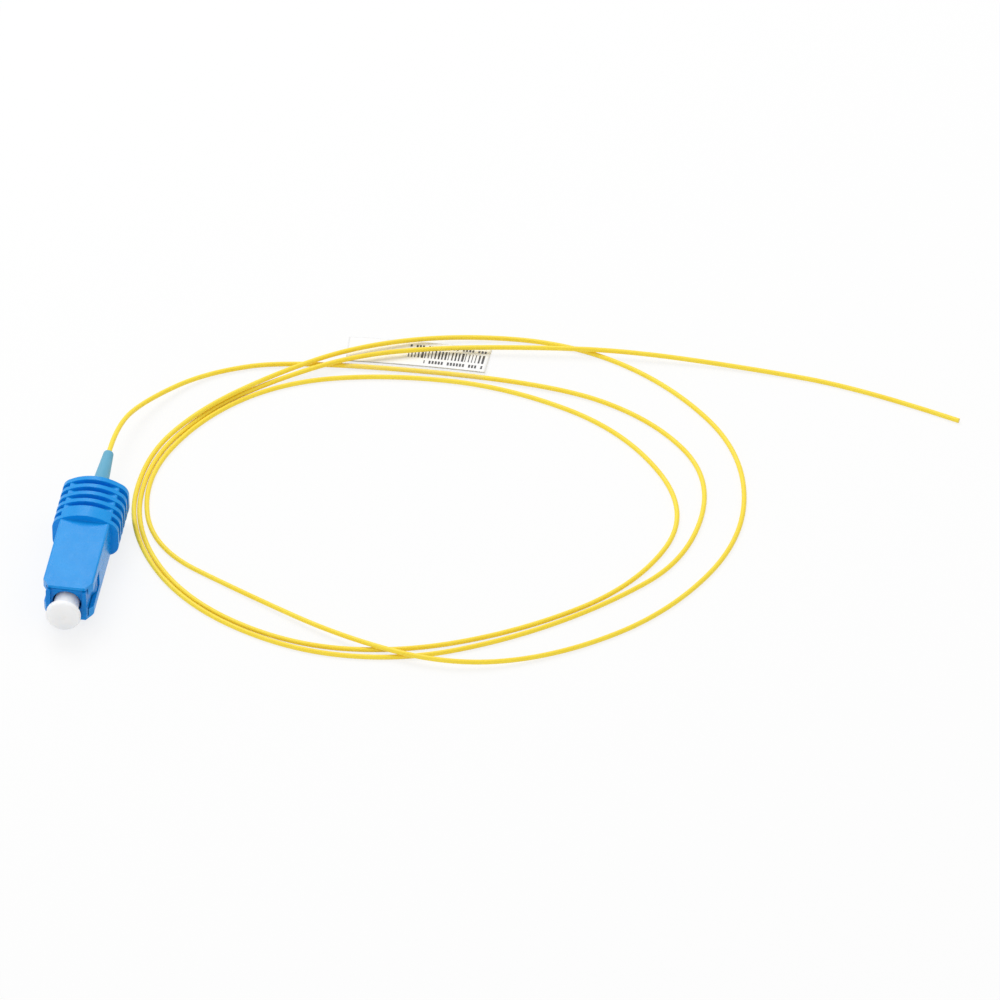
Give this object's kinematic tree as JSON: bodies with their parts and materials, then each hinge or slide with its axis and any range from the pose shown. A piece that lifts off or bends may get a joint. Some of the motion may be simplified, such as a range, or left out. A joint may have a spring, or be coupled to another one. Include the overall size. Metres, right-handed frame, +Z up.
{
  "type": "fibre optic pigtail",
  "caption": "Fibre pigtail: a square push-pull plug with a sliding ribbed sleeve, dust cap and slim boot, on a loosely looped length of buffered fibre with a bare end.",
  "frame": {"origin": "on the floor, under the middle of the connector, measured from the dust cap's end to the boot's tip", "axes": "+Y along the connector from the dust cap to the boot, +Z up, +X towards the loops of fibre"},
  "size_m": [0.1557, 0.0934, 0.0099],
  "materials": {
    "sleeve_blue": "satin moulded plastic",
    "frame_blue": "satin moulded plastic",
    "ceramic_white": "polished ceramic",
    "flange_metal": "turned",
    "spring_steel": "drawn wire",
    "stop_metal": "nickel plated, turned",
    "boot_teal": "satin elastomer",
    "cap_white": "soft moulded plastic",
    "buffer_yellow": "satin extruded buffer",
    "glass_clear": "bare glass",
    "flag_white": "smooth label film"
  },
  "bodies": {
    "plug": {"plug_frame": "frame_blue", "spring_stop": "stop_metal", "boot": "boot_teal", "spring": "spring_steel", "inner_fibre": "buffer_yellow", "fibre_cord": "buffer_yellow", "id_flag": "flag_white"},
    "sleeve": {"grip_sleeve": "sleeve_blue"},
    "ferrule_set": {"ferrule": "ceramic_white", "ferrule_flange": "flange_metal", "glass_fibre": "glass_clear"},
    "cap": {"dust_cap": "cap_white"}
  },
  "joints": [
    {"name": "sleeve_slide", "type": "slide", "parent": "plug", "child": "sleeve", "axis": [0, 1, 0], "range_m": [0, 0.002]},
    {"name": "ferrule_float", "type": "slide", "parent": "plug", "child": "ferrule_set", "axis": [0, 1, 0], "range_m": [0, 0.001], "stiffness_N_per_m": 20, "springref_m": -0.004, "deforming": ["spring", "inner_fibre"]},
    {"name": "cap_pull", "type": "slide", "parent": "ferrule_set", "child": "cap", "axis": [0, -1, 0], "range_m": [0, 0.015]}
  ]
}
